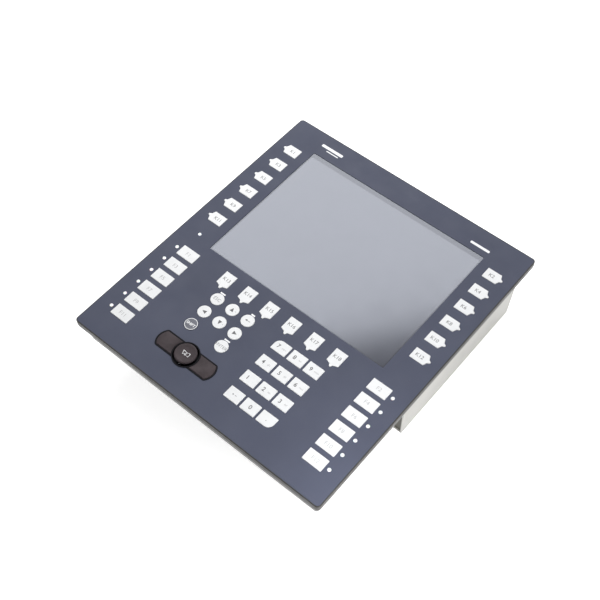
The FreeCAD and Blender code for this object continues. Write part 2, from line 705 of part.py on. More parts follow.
def card_slot():
    """Empty card holder under the main board."""
    y0 = END_PLATE_Y + END_PLATE_THICK
    body = block(CARD_X - 25, CARD_X + 25, y0, y0 + 40, CARD_Z - 3.8, BOARD_Z)
    slot = block(CARD_X - CARD_W / 2, CARD_X + CARD_W / 2, y0 - 1, y0 + 36, CARD_Z - CARD_H / 2, CARD_Z + CARD_H / 2)
    return body.cut(slot)


def power_terminal():
    """Three-pole plug-in terminal with square wire entries and clamp screw wells."""
    y0 = BOX_END - 9.0
    z0 = 23.0
    body = block(POWER_X - 9, POWER_X + 9, y0, END_PLATE_Y + 8, z0, BOARD_Z)
    cuts = []
    for i in (-1, 0, 1):
        x = POWER_X + i * 5.6
        cuts.append(block(x - 1.8, x + 1.8, y0 - 1, y0 + 7, z0 + 2.2, z0 + 5.8))
        cuts.append(drum_y(x, z0 + 9.6, 1.7, y0 - 1, y0 + 4))
    return body.cut(cuts)


def serial_socket():
    """Nine-way socket: shell with slanted sides, mounting flange, two jack nuts and its body."""
    middle = 29.2
    y0 = BOX_END - 4.5

    def shell(grow, ya, yb):
        points = [(-8.4 - grow, 4.1 + grow), (8.4 + grow, 4.1 + grow), (7.0 + grow, -4.1 - grow), (-7.0 - grow, -4.1 - grow)]
        corners = [Vector(SERIAL_X + x, ya, middle + z) for x, z in points]
        return Part.Face(Part.makePolygon(corners + corners[:1])).extrude(Vector(0, yb - ya, 0))

    front = shell(0, y0, END_PLATE_Y + 1)
    flange = block(SERIAL_X - 15.4, SERIAL_X + 15.4, END_PLATE_Y - 1.0, END_PLATE_Y, middle - 6.2, middle + 6.2)
    back = block(SERIAL_X - 9.2, SERIAL_X + 9.2, END_PLATE_Y, END_PLATE_Y + 9, 24.5, 33.9)
    link = block(SERIAL_X - 9.2, SERIAL_X + 9.2, END_PLATE_Y + 3, END_PLATE_Y + 9, 24.5, BOARD_Z)
    nuts = []
    for side in (-1, 1):
        nut = Part.makeCylinder(2.5, 5.0, Vector(SERIAL_X + side * 12.5, END_PLATE_Y - 6.0, middle), Vector(0, 1, 0))
        nut = nut.cut(drum_y(SERIAL_X + side * 12.5, middle, 1.4, END_PLATE_Y - 7, END_PLATE_Y - 2))
        nuts.append(nut)
    return fuse_all([front, flange, back, link] + nuts)


def data_sockets():
    """Two network sockets and one USB socket, open towards the end of the housing."""
    y0 = BOX_END + 0.2
    sockets = []
    for x in NETWORK_X:
        body = block(x - 8, x + 8, y0, y0 + 18, 22.2, BOARD_Z)
        mouth = block(x - 5.9, x + 5.9, y0 - 1, y0 + 13, 25.4, 33.8)
        sockets.append(body.cut(mouth))
    body = block(USB_X - 7.2, USB_X + 7.2, y0, y0 + 14, 28.0, BOARD_Z)
    mouth = block(USB_X - 6.3, USB_X + 6.3, y0 - 1, y0 + 10, 29.4, 34.6)
    sockets.append(body.cut(mouth))
    return Part.makeCompound(sockets)


def hexagon_y(x, z, across, y0, y1):
    corner = across / math.sqrt(3)
    turns = [math.radians(60 * i) for i in range(6)]
    points = [Vector(x + corner * math.cos(a), y0, z + corner * math.sin(a)) for a in turns]
    return Part.Face(Part.makePolygon(points + points[:1])).extrude(Vector(0, y1 - y0, 0))


def earth_stud():
    """Threaded stud with its head inside the end plate, and its washer and nut tightened outside."""
    outside = END_PLATE_Y
    inside = END_PLATE_Y + END_PLATE_THICK
    return fuse_all([
        drum_y(STUD_X, STUD_Z, 2.0, outside - 13.0, inside),
        hexagon_y(STUD_X, STUD_Z, 7.0, inside, inside + 2.8),
        drum_y(STUD_X, STUD_Z, 4.5, outside - 0.8, outside),
        hexagon_y(STUD_X, STUD_Z, 7.0, outside - 4.0, outside - 0.8),
    ])


# All nodes ------------------------------------------------------------------------------------

def main():
    os.makedirs("parts", exist_ok=True)
    keys = function_keys() + soft_key_banks() + pad_keys() + round_keys()
    for name, group in keys:
        solids = [key_solid(face, x, y) for face, x, y in group]
        save(name, solids[0] if len(solids) == 1 else Part.makeCompound(solids))
    save("front_overlay", front_overlay(keys))
    save("front_frame", front_frame(keys))
    save("touch_panel", touch_panel())
    save("lcd_module", lcd_module())
    save("keypad_board", keypad_board(keys))
    save("light_lenses", light_lenses())
    save("pointer_housing", pointer_housing())
    save("pointer_gimbal_ring", pointer_gimbal_ring())
    save("pointer_disc", pointer_disc())
    save("pointer_stem", pointer_stem())
    save("pointer_left_button", pointer_button(-1))
    save("pointer_right_button", pointer_button(1))
    save("chassis_tray", chassis_tray())
    save("panel_gasket", panel_gasket())
    save("chassis_plate", chassis_plate())
    save("main_board", main_board())
    save("rear_cover", rear_cover())
    save("cover_screws", cover_screws())
    save("connector_plate", connector_plate())
    save("card_door", card_door())
    save("card_slot", card_slot())
    save("power_terminal", power_terminal())
    save("serial_socket", serial_socket())
    save("data_sockets", data_sockets())
    save("earth_stud", earth_stud())


main()
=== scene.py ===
import math

import bmesh
import bpy
from mathutils import Matrix, Vector


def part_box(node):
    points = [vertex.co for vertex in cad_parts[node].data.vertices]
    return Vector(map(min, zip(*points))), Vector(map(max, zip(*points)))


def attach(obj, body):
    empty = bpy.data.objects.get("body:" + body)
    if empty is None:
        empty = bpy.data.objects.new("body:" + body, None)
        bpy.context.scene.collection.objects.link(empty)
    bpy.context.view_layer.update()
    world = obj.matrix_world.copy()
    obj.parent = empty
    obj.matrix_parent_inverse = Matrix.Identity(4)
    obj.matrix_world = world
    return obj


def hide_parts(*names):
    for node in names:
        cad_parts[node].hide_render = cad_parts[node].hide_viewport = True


# Keypad operator panel with a touch display, lying on its back with the face up. The origin is the middle
# of the underside, +Z points out of the face, +Y to its top edge and +X to its right. Sizes are written in
# millimetres and become metres when a piece is made.

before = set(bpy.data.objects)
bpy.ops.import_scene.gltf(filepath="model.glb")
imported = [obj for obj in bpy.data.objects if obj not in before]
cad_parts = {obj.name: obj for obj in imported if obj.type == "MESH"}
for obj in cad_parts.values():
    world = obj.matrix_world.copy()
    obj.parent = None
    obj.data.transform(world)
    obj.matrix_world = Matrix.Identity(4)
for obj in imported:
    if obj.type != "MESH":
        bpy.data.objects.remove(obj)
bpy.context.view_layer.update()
scene = bpy.context.scene
MM = 0.001


# Studio ---------------------------------------------------------------------------------------
# A wide white floor, lit from below, under an even sky. One large soft box stands beyond the panel's upper
# left, where the display mirrors it, a weaker one hangs overhead, another stands low at the right, and a
# small lamp lights the near right corner of the face.

def surface(name, colour, rough, metal=0.0, gloss=0.5, cloud=0.04, cloud_size=40.0, grain=0.0,
            grain_size=0.6, worn=None, wear=0.5, coat=0.0):
    """A made finish: a colour that drifts a little, uneven gloss, a fine grain and rubbed edges."""
    material = bpy.data.materials.new(name)
    material.use_nodes = True
    nodes = material.node_tree.nodes
    join = material.node_tree.links.new
    shader = nodes["Principled BSDF"]
    shader.inputs["Metallic"].default_value = metal
    shader.inputs["Specular IOR Level"].default_value = gloss
    shader.inputs["Coat Weight"].default_value = coat
    shader.inputs["Coat Roughness"].default_value = 0.12
    place = nodes.new("ShaderNodeTexCoord")

    def noise(size, detail):
        made = nodes.new("ShaderNodeTexNoise")
        made.inputs["Scale"].default_value = 1.0 / (size * MM)
        made.inputs["Detail"].default_value = detail
        join(place.outputs["Object"], made.inputs["Vector"])
        return made.outputs["Fac"]

    def spread(value, low, high, to_low, to_high):
        made = nodes.new("ShaderNodeMapRange")
        made.inputs["From Min"].default_value = low
        made.inputs["From Max"].default_value = high
        made.inputs["To Min"].default_value = to_low
        made.inputs["To Max"].default_value = to_high
        join(value, made.inputs["Value"])
        return made.outputs["Result"]

    def mixed(share, first, second):
        made = nodes.new("ShaderNodeMix")
        made.data_type = "RGBA"
        join(share, made.inputs[0])
        for socket, tint in ((6, first), (7, second)):
            if isinstance(tint, tuple):
                made.inputs[socket].default_value = tint + (1.0,)
            else:
                join(tint, made.inputs[socket])
        return made.outputs[2]

    drift = spread(noise(cloud_size, 4.0), 0.35, 0.65, 0.0, 1.0)
    dark = tuple(c * (1 - cloud) for c in colour)
    light = tuple(min(1.0, c * (1 + cloud)) for c in colour)
    tint = mixed(drift, dark, light)
    if worn:
        bevel = nodes.new("ShaderNodeBevel")
        bevel.samples = 4
        bevel.inputs["Radius"].default_value = wear * MM
        flat = nodes.new("ShaderNodeNewGeometry")
        facing = nodes.new("ShaderNodeVectorMath")
        facing.operation = "DOT_PRODUCT"
        join(bevel.outputs["Normal"], facing.inputs[0])
        join(flat.outputs["Normal"], facing.inputs[1])
        edge = spread(facing.outputs["Value"], 0.97, 0.75, 0.0, 1.0)
        patchy = spread(noise(3.0, 6.0), 0.42, 0.6, 0.0, 0.8)
        rubbed = nodes.new("ShaderNodeMath")
        rubbed.operation = "MULTIPLY"
        join(edge, rubbed.inputs[0])
        join(patchy, rubbed.inputs[1])
        tint = mixed(rubbed.outputs["Value"], tint, worn)
    join(tint, shader.inputs["Base Color"])
    join(spread(noise(cloud_size * 0.3, 5.0), 0.3, 0.7, rough * 0.9, min(1.0, rough * 1.12)),
         shader.inputs["Roughness"])
    if grain:
        bump = nodes.new("ShaderNodeBump")
        bump.inputs["Strength"].default_value = grain
        bump.inputs["Distance"].default_value = 0.05 * MM
        join(noise(grain_size, 3.0), bump.inputs["Height"])
        join(bump.outputs["Normal"], shader.inputs["Normal"])
    return material


FLOOR_R = 30.0              # metres
FLOOR_GLOW = 0.62
SKY_GLOW = 0.38
bm = bmesh.new()
bmesh.ops.create_circle(bm, cap_ends=True, radius=FLOOR_R, segments=96)
floor_mesh = bpy.data.meshes.new("studio_floor")
bm.to_mesh(floor_mesh)
bm.free()
floor_white = surface("studio floor", (0.93, 0.93, 0.93), 0.7, gloss=0.1, cloud=0.005, cloud_size=900.0)
glow = floor_white.node_tree.nodes["Principled BSDF"]
glow.inputs["Emission Color"].default_value = (1.0, 1.0, 1.0, 1.0)
glow.inputs["Emission Strength"].default_value = FLOOR_GLOW
floor_mesh.materials.append(floor_white)
floor = bpy.data.objects.new("studio_floor", floor_mesh)
scene.collection.objects.link(floor)


def soft_box(name, x, y, height, width, depth, turn, radiance, aim=None):
    """A soft box in metres, level or aimed at a point. Its power follows from how bright its cloth looks."""
    lamp = bpy.data.lights.new(name, "AREA")
    lamp.shape = "RECTANGLE"
    lamp.size = width
    lamp.size_y = depth
    lamp.energy = radiance * math.pi * width * depth
    holder = bpy.data.objects.new(name, lamp)
    holder.location = (x, y, height)
    holder.rotation_euler = (0.0, 0.0, math.radians(turn))
    if aim:
        holder.rotation_euler = (holder.location - Vector(aim)).to_track_quat("Z", "Y").to_euler()
    scene.collection.objects.link(holder)
    return holder


soft_box("main soft box", -0.985, 1.225, 1.573, 1.4, 1.4, 52.9, 7.8)
soft_box("top soft box", -0.1, 0.2, 1.7, 0.5, 0.5, 0.0, 2.2)
soft_box("side soft box", 0.62, -0.05, 0.34, 0.3, 0.3, 0.0, 2.0, (0.14, 0.0, 0.03))
corner_lamp = soft_box("corner lamp", 0.25, -0.175, 0.16, 0.1, 0.1, 0.0, 9.5, (0.12, -0.15, 0.07))
corner_lamp.visible_camera = False

sky = bpy.data.worlds.new("white sky")
sky.use_nodes = True
sky.node_tree.nodes["Background"].inputs["Color"].default_value = (1.0, 1.0, 1.0, 1.0)
sky.node_tree.nodes["Background"].inputs["Strength"].default_value = SKY_GLOW
scene.world = sky
scene.view_settings.view_transform = "Standard"

EYE = Vector((0.36311, -0.43255, 0.88847))      # metres
AIM = Vector((0.00108, -0.01502, 0.0727))
ROLL = math.radians(-1.118)
FOCAL_LENGTH = 62.466
back = (EYE - AIM).normalized()
level = Vector((0.0, 0.0, 1.0)).cross(back).normalized()
sideways = math.cos(ROLL) * level + math.sin(ROLL) * back.cross(level)
lens = bpy.data.cameras.new("camera")
lens.lens = FOCAL_LENGTH
lens.sensor_width = 36.0
camera = bpy.data.objects.new("camera", lens)
facing = Matrix((sideways, back.cross(sideways), back)).transposed().to_4x4()
camera.matrix_world = Matrix.Translation(EYE) @ facing
scene.collection.objects.link(camera)
scene.camera = camera


# Front frame ----------------------------------------------------------------------------------
# The bezel is a die-cast aluminium frame, painted satin grey. The overlay foil lies in its rim, and its
# outside edge is rubbed a little where the panel has been handled.

def coat(node, material):
    """Gives a part of the frame its finish."""
    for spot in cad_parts[node].material_slots:
        spot.material = material


bezel_paint = surface("bezel paint", (0.04, 0.039, 0.037), 0.4, gloss=0.25, cloud=0.08, grain=0.2,
                      grain_size=0.5, worn=(0.09, 0.09, 0.095), wear=0.3)
coat("front_frame", bezel_paint)


# Overlay foil ---------------------------------------------------------------------------------
# The face is a blue-grey polyester foil with a fine matt embossing, bonded into the frame's rim. White
# marks are screen printed on it.

overlay_foil = surface("overlay foil", (0.077, 0.085, 0.124), 0.6, gloss=0.16, cloud=0.05, cloud_size=70.0,
                       grain=0.35, grain_size=0.35)
coat("front_overlay", overlay_foil)

PRINT = 0.04                # thickness of printed ink
CREASE = math.radians(32)


def box_mm(node):
    """Lowest and highest corner of a part, in millimetres."""
    low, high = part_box(node)
    return low / MM, high / MM


face_top = box_mm("front_overlay")[1].z
top_edge = box_mm("front_frame")[1].y


def rounded(x, y, width, height, corners, steps=5):
    """Outline of a rectangle with its own radius at each corner, from the lower left one round."""
    points = []
    for (sx, sy), radius, start in zip(((-1, -1), (1, -1), (1, 1), (-1, 1)), corners, (180, 270, 0, 90)):
        cx = x + sx * (width / 2 - radius)
        cy = y + sy * (height / 2 - radius)
        for i in range(steps + 1):
            turn = math.radians(start + 90.0 * i / steps)
            points.append((cx + radius * math.cos(turn), cy + radius * math.sin(turn)))
    return points


def circle(x, y, radius, steps=48):
    turns = [2 * math.pi * i / steps for i in range(steps)]
    return [(x + radius * math.cos(t), y + radius * math.sin(t)) for t in turns]


def stacked(bm, rings):
    """Closed body through rings of corners, one above the other."""
    levels = [[bm.verts.new(p) for p in ring] for ring in rings]
    for lower, upper in zip(levels, levels[1:]):
        for i in range(len(lower)):
            j = (i + 1) % len(lower)
            bm.faces.new((lower[i], lower[j], upper[j], upper[i]))
    bm.faces.new(levels[0][::-1])
    bm.faces.new(levels[-1])
    return [v for ring in levels for v in ring]


def slab(bm, outline, low, high):
    """Upright body over an outline, from one height to another."""
    return stacked(bm, [[(x, y, z) for x, y in outline] for z in (low, high)])


def piece(name, bm, material, body, replaces=()):
    """Turns a shape drawn in millimetres into an object that rides on a body of the frame."""
    bmesh.ops.scale(bm, vec=(MM, MM, MM), verts=bm.verts)
    bmesh.ops.recalc_face_normals(bm, faces=bm.faces)
    for face in bm.faces:
        face.smooth = True
    for edge in bm.edges:
        edge.smooth = edge.calc_face_angle(0.0) < CREASE
    mesh = bpy.data.meshes.new(name)
    bm.to_mesh(mesh)
    bm.free()
    mesh.materials.append(material)
    made = bpy.data.objects.new(name, mesh)
    scene.collection.objects.link(made)
    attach(made, body)
    if replaces:
        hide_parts(*replaces)
    return made


white_ink = surface("white ink", (0.86, 0.87, 0.88), 0.45, cloud=0.03, cloud_size=6.0)
# Middle of each mark, its distance below the top edge, its width and its height.
PLAIN_MARKS = [(-93.9, 15.4, 27.0, 3.4), (-91.0, 19.6, 15.0, 1.2), (96.5, 21.2, 22.0, 2.8)]
MARK_ROUND = 0.3            # corner radius of a mark, as a share of its height

bm = bmesh.new()
for x, down, width, height in PLAIN_MARKS:
    outline = rounded(x, top_edge - down, width, height, [height * MARK_ROUND] * 4)
    slab(bm, outline, face_top - PRINT, face_top + PRINT)
piece("plain_marks", bm, white_ink, "panel")


# Display --------------------------------------------------------------------------------------
# A touch panel with an anti-glare film lies behind the window of the foil. The display behind it is off,
# so the film is a dark grey that mirrors the studio softly. A darker, less glossy band round its edge, widest
# at the top, is painted shade for the shadow of the bezel on the film.

touch_film = surface("touch film", (0.032, 0.034, 0.047), 0.14, gloss=0.68, cloud=0.05, cloud_size=60.0)
# The border's material is painted shade: darker and duller than the film, standing in for the bezel's shadow.
film_shade_border = surface("film shade border", (0.026, 0.027, 0.038), 0.15, gloss=0.52, cloud=0.05)
FILM_SHEEN = (0.86, 0.9, 1.0, 1.0)
for film in (touch_film, film_shade_border):
    film.node_tree.nodes["Principled BSDF"].inputs["Specular Tint"].default_value = FILM_SHEEN
coat("touch_panel", touch_film)

film_low, film_high = box_mm("touch_panel")
film_middle = (film_low + film_high) / 2
film_top = film_high.z
WINDOW_WIDE = 213.7
WINDOW_HIGH = 161.2
BORDER_LEFT = 1.5
BORDER_RIGHT = 1.2
BORDER_TOP = 5.6
BORDER_BOTTOM = 1.2
BORDER_THICK = 0.03


def corners_of(left, low, right, high):
    """Four corners of a plain rectangle, from the lower left one round."""
    return [(left, low), (right, low), (right, high), (left, high)]


left = film_middle.x - WINDOW_WIDE / 2
right = film_middle.x + WINDOW_WIDE / 2
low = film_middle.y - WINDOW_HIGH / 2
high = film_middle.y + WINDOW_HIGH / 2
outer = corners_of(left, low, right, high)
inner = corners_of(left + BORDER_LEFT, low + BORDER_BOTTOM, right - BORDER_RIGHT, high - BORDER_TOP)
bm = bmesh.new()
rings = []
for z in (film_top - BORDER_THICK, film_top + BORDER_THICK):
    for outline in (outer, inner):
        rings.append([bm.verts.new((x, y, z)) for x, y in outline])
for first, second in ((0, 1), (1, 3), (3, 2), (2, 0)):
    for i in range(4):
        j = (i + 1) % 4
        bm.faces.new((rings[first][i], rings[first][j], rings[second][j], rings[second][i]))
piece("film_shade_border", bm, film_shade_border, "panel")


# Function keys --------------------------------------------------------------------------------
# Twelve moulded white keys, six down each side. Each has a rounded cap that stands just above the foil, a
# collar that holds it under the frame, and a nub over its dome. Their legends are printed in pale grey.

COLLAR = 0.7                # how far a key's collar reaches past its cap
COLLAR_THICK = 0.6
KEY_EDGE = 0.32             # rounding of a cap's edge
KEY_REST = 0.2              # flat margin inside the rounded edge
NUB_R = 1.5
NUB_DEEP = 0.17             # how far the nub stands out below the collar
KEY_CORNER = 0.6
ROUND_STEPS = 4             # steps in the rounding of a cap's edge
CAPITAL = 0.729             # height of a capital in a font of size one
FUNCTION_LEGEND = 4.2       # height of a legend's capitals
FUNCTION_WEIGHT = -0.008    # thinner strokes than the font's own

key_white = surface("key white", (0.745, 0.755, 0.765), 0.38, cloud=0.02, cloud_size=12.0, grain=0.1,
                    grain_size=0.4)
pale_ink = surface("pale grey ink", (0.4, 0.4, 0.41), 0.5, cloud=0.05, cloud_size=3.0)


def shrunk(outline, by):
    """The same outline drawn in by a distance, or out by a negative one."""
    moved = []
    count = len(outline)
    for i in range(count):
        before, here, after = (Vector(outline[k % count]) for k in (i - 1, i, i + 1))
        first = (here - before).normalized()
        second = (after - here).normalized()
        inward = Vector((-first.y - second.y, first.x + second.x))
        reach = by * 2.0 / max(inward.length_squared, 0.4)
        moved.append((here.x + inward.x * reach, here.y + inward.y * reach))
    return moved


def capped(bm, outline, low, high):
    """Closed body over an outline, with its upper edge rounded off and a flat top."""
    rings = [(0.0, low)]
    for i in range(ROUND_STEPS + 1):
        turn = math.pi / 2 * i / ROUND_STEPS
        rings.append((KEY_EDGE * (1 - math.cos(turn)), high - KEY_EDGE * (1 - math.sin(turn))))
    rings.append((KEY_EDGE + KEY_REST, high))
    return stacked(bm, [[(x, y, z) for x, y in shrunk(outline, inset)] for inset, z in rings])


def add_key(bm, outline, x, y, node_low, node_high):
    """Cap, collar and nub of one key."""
    collar_low = node_low + NUB_DEEP
    capped(bm, outline, collar_low + COLLAR_THICK / 2, node_high)
    slab(bm, shrunk(outline, -COLLAR), collar_low, collar_low + COLLAR_THICK)
    slab(bm, circle(x, y, NUB_R, 20), node_low, collar_low + COLLAR_THICK / 2)


def add_word(bm, text, height, x, y, z, weight=0.0):
    """Adds a word as a film of ink: capitals of the given height, centred on x, y and lying at z."""
    curve = bpy.data.curves.new("word", "FONT")
    curve.body = text
    curve.offset = weight
    curve.extrude = 0.1
    curve.resolution_u = 5
    holder = bpy.data.objects.new("word", curve)
    scene.collection.objects.link(holder)
    bpy.context.view_layer.update()
    drawn = bpy.data.meshes.new_from_object(holder.evaluated_get(bpy.context.evaluated_depsgraph_get()))
    middle_x = (min(v.co.x for v in drawn.vertices) + max(v.co.x for v in drawn.vertices)) / 2
    scale = height / CAPITAL
    for v in drawn.vertices:
        upper = v.co.z > 0
        v.co = (x + (v.co.x - middle_x) * scale, y + (v.co.y - CAPITAL / 2) * scale,
                z + (PRINT if upper else -PRINT))
    bm.from_mesh(drawn)
    bmesh.ops.remove_doubles(bm, verts=bm.verts, dist=1e-4)
    bpy.data.objects.remove(holder)
    bpy.data.curves.remove(curve)
    bpy.data.meshes.remove(drawn)


def key_place(node):
    """Middle of a key and the size of its cap."""
    low, high = box_mm(node)
    return (low + high) / 2, high.x - low.x - 2 * COLLAR, high.y - low.y - 2 * COLLAR


for number in range(1, 13):
    node = "function_key_%d" % number
    low, high = box_mm(node)
    middle, width, height = key_place(node)
    bm = bmesh.new()
    outline = rounded(middle.x, middle.y, width, height, [KEY_CORNER] * 4)
    add_key(bm, outline, middle.x, middle.y, low.z, high.z)
    piece("cap_f%d" % number, bm, key_white, node, [node])
    bm = bmesh.new()
    add_word(bm, "F%d" % number, FUNCTION_LEGEND, middle.x, middle.y, high.z, FUNCTION_WEIGHT)
    piece("legend_f%d" % number, bm, pale_ink, node)


# Soft keys ------------------------------------------------------------------------------------
# Rows of six keys at the left, right and lower side of the display. Each ends in a small tab that lets
# through the light of its lamp. Their legends are printed in mid grey.

SOFT_LONG = 15.4
SOFT_SHOULDER = 1.6
SOFT_TAB = 2.5
SOFT_TAB_HALF = 2.1
SOFT_TIP_HALF = 0.8
SOFT_COUNT = 6
SOFT_WIDE = 13.5            # across a key of the lower row
SOFT_NARROW = 12.4          # across a key at the sides
SOFT_LEGEND = 3.9
# Each row's part, where its tabs point, its first number and the step from key to key.
SOFT_ROWS = (("soft_keys_left", 180, 1, 2), ("soft_keys_right", 0, 2, 2), ("soft_keys_low", -90, 13, 1))

mid_ink = surface("mid grey ink", (0.12, 0.12, 0.125), 0.5, cloud=0.05, cloud_size=3.0)


def soft_outline(x, y, turn, width):
    """Outline of a soft key. x, y is the middle of its straight end; turn is where its tab points."""
    shoulder = SOFT_LONG + SOFT_SHOULDER
    tip = shoulder + SOFT_TAB
    half = width / 2
    run = [(0.0, -half), (SOFT_LONG, -half), (shoulder, -SOFT_TAB_HALF), (tip, -SOFT_TIP_HALF)]
    run += [(a, -b) for a, b in run[::-1]]
    c = math.cos(math.radians(turn))
    s = math.sin(math.radians(turn))
    return [(x + a * c - b * s, y + a * s + b * c) for a, b in run]


for node, turn, first_label, step in SOFT_ROWS:
    low, high = box_mm(node)
    across = high.x - low.x if turn == -90 else high.y - low.y
    width = SOFT_WIDE if turn == -90 else SOFT_NARROW
    pitch = (across - 2 * COLLAR - width) / (SOFT_COUNT - 1)
    caps = bmesh.new()
    words = bmesh.new()
    for i in range(SOFT_COUNT):
        if turn == -90:
            x = low.x + COLLAR + width / 2 + i * pitch
            y = high.y - COLLAR
        else:
            x = low.x + COLLAR if turn == 0 else high.x - COLLAR
            y = high.y - COLLAR - width / 2 - i * pitch
        middle_x = x + SOFT_LONG / 2 * math.cos(math.radians(turn))
        middle_y = y + SOFT_LONG / 2 * math.sin(math.radians(turn))
        add_key(caps, soft_outline(x, y, turn, width), middle_x, middle_y, low.z, high.z)
        add_word(words, "K%d" % (first_label + i * step), SOFT_LEGEND, middle_x, middle_y, high.z)
    piece("caps_" + node, caps, key_white, node, [node])
    piece("legends_" + node, words, mid_ink, node)


# Number pad -----------------------------------------------------------------------------------
# Twelve keys, three across and four down. Two of them have one large rounded corner. A bold digit stands
# left of the middle, with the usual letter group beside it in small pale print.

PAD_LETTERS = {"7": "pqrs", "8": "tuv", "9": "wxyz", "4": "ghi",
               "5": "jkl", "6": "mno", "2": "abc", "3": "def"}
PAD_ORDER = ["7", "8", "9", "4", "5", "6", "1", "2", "3", "sign", "0", "point"]
PAD_CORNER = 6.5            # the large corner of the first and the last key
PAD_STEPS = 10
DIGIT_SHIFT = -2.9
DIGIT_HIGH = 4.4
DIGIT_WEIGHT = 0.012
LETTER_SHIFT = 3.6
LETTER_HIGH = 1.9
POINT_R = 0.4
POINT_DOWN = 1.2
# Strokes of the plus and the minus: from and to across, from and to up, and how thick the ink is.
SIGN_STROKES = [(-2.4, -0.6, -0.2, 0.2, 1.0), (-1.7, -1.3, -0.9, 0.9, 1.2), (0.8, 2.6, -0.2, 0.2, 1.0)]

bold_ink = surface("dark grey ink", (0.1, 0.1, 0.105), 0.5, cloud=0.05, cloud_size=3.0)


def bar(bm, x0, x1, y0, y1, z0, z1):
    """Plain block between two heights."""
    return slab(bm, corners_of(x0, y0, x1, y1), z0, z1)


for name in PAD_ORDER:
    node = "pad_key_" + name
    low, high = box_mm(node)
    middle, width, height = key_place(node)
    corners = [KEY_CORNER] * 4
    if name == "point":
        corners[1] = PAD_CORNER
    elif name == "7":
        corners[3] = PAD_CORNER
    bm = bmesh.new()
    outline = rounded(middle.x, middle.y, width, height, corners, PAD_STEPS)
    add_key(bm, outline, middle.x, middle.y, low.z, high.z)
    piece("cap_pad_" + name, bm, key_white, node, [node])
    bm = bmesh.new()
    if name == "sign":
        for x0, x1, y0, y1, thick in SIGN_STROKES:
            bar(bm, middle.x + x0, middle.x + x1, middle.y + y0, middle.y + y1,
                high.z - PRINT, high.z + PRINT * thick)
    elif name == "point":
        slab(bm, circle(middle.x, middle.y - POINT_DOWN, POINT_R, 20), high.z - PRINT, high.z + PRINT)
    else:
        shift = 0.0 if name == "0" else DIGIT_SHIFT
        add_word(bm, name, DIGIT_HIGH, middle.x + shift, middle.y, high.z, DIGIT_WEIGHT)
    piece("legend_pad_" + name, bm, bold_ink, node)
    if name in PAD_LETTERS:
        bm = bmesh.new()
        add_word(bm, PAD_LETTERS[name], LETTER_HIGH, middle.x + LETTER_SHIFT, middle.y, high.z)
        piece("letters_pad_" + name, bm, pale_ink, node)


# Cursor keys ----------------------------------------------------------------------------------
# Eight round keys with arrows and the usual editing words. The shift key is dark with a white ring. Small
# printed bars on the foil stand over three of them.

key_dark = surface("key dark", (0.085, 0.09, 0.12), 0.42, cloud=0.04, grain=0.15, grain_size=0.4)
ROUND_ORDER = ["escape", "up", "tab", "left", "down", "right", "shift", "enter"]
# Word, height and stroke weight of the keys that carry one.
ROUND_WORDS = {"escape": ("ESC", 3.6, -0.01), "enter": ("ENTER", 3.2, -0.01), "shift": ("SHIFT", 2.9, 0.02)}
ARROW_TURNS = {"up": 90, "down": -90, "left": 180, "right": 0}
ARROW = 2.35                # from the middle of an arrow to its point
RING_INSIDE = 5.85
RING_OUTSIDE = 6.4
PRINTED_BARS = (("escape", 6.0), ("tab", 4.4), ("enter", 6.6))      # the key below and the bar's width
BAR_UP = 8.0                # from the middle of the key to its bar
BAR_THICK = 1.6
BAR_CORNER = 0.5


def add_arrow(bm, x, y, turn, z):
    """Printed triangle that points along a turn."""
    c = math.cos(math.radians(turn))
    s = math.sin(math.radians(turn))
    shape = [(ARROW, 0.0), (-ARROW * 0.85, ARROW * 0.85), (-ARROW * 0.85, -ARROW * 0.85)]
    slab(bm, [(x + a * c - b * s, y + a * s + b * c) for a, b in shape], z - PRINT, z + PRINT)


def turned(bm, profile, x, y, steps=48):
    """Body of revolution about an upright axis. The profile runs from axis to axis or round a loop."""
    rings = []
    for radius, z in profile:
        if radius == 0:
            rings.append([bm.verts.new((x, y, z))])
        else:
            rings.append([bm.verts.new((px, py, z)) for px, py in circle(x, y, radius, steps)])
    pairs = list(zip(rings, rings[1:]))
    if profile[0][0] > 0:
        pairs.append((rings[-1], rings[0]))
    for lower, upper in pairs:
        for i in range(steps):
            j = (i + 1) % steps
            corners = [lower[i % len(lower)], lower[j % len(lower)]]
            corners += [upper[j % len(upper)], upper[i % len(upper)]]
            bm.faces.new(list(dict.fromkeys(corners)))


for name in ROUND_ORDER:
    node = "round_key_" + name
    low, high = box_mm(node)
    middle, width, height = key_place(node)
    x, y, z = middle.x, middle.y, high.z
    bm = bmesh.new()
    add_key(bm, circle(x, y, width / 2), x, y, low.z, z)
    if name == "shift":
        piece("cap_" + name, bm, key_dark, node, [node])
    else:
        piece("cap_" + name, bm, key_white, node, [node])
    bm = bmesh.new()
    if name in ROUND_WORDS:
        word, word_high, weight = ROUND_WORDS[name]
        add_word(bm, word, word_high, x, y, z, weight)
        if name == "shift":
            turned(bm, corners_of(RING_INSIDE, z - PRINT, RING_OUTSIDE, z + PRINT), x, y)
    elif name == "tab":
        bar(bm, x - 0.6, x + 2.9, y - 0.25, y + 0.25, z - PRINT, z + PRINT)
        slab(bm, [(x - 2.9, y), (x - 0.6, y - 1.1), (x - 0.6, y + 1.1)], z - PRINT, z + PRINT)
    else:
        add_arrow(bm, x, y, ARROW_TURNS[name], z)
        if name in ("up", "down"):
            bar(bm, x + 3.2, x + 4.6, y - 0.15, y + 0.15, z - PRINT, z + PRINT)
    ink = {"escape": mid_ink, "enter": mid_ink, "shift": white_ink}.get(name, bold_ink)
    piece("legend_" + name, bm, ink, node)

bm = bmesh.new()
for name, width in PRINTED_BARS:
    middle = key_place("round_key_" + name)[0]
    outline = rounded(middle.x, middle.y + BAR_UP, width, BAR_THICK, [BAR_CORNER] * 4)
    slab(bm, outline, face_top - PRINT, face_top + PRINT)
piece("printed_bars", bm, white_ink, "panel")


# Signal lights --------------------------------------------------------------------------------
# Small domed lenses of milky polycarbonate, pushed through the frame beside the function keys, and one for
# the supply under the left soft keys.

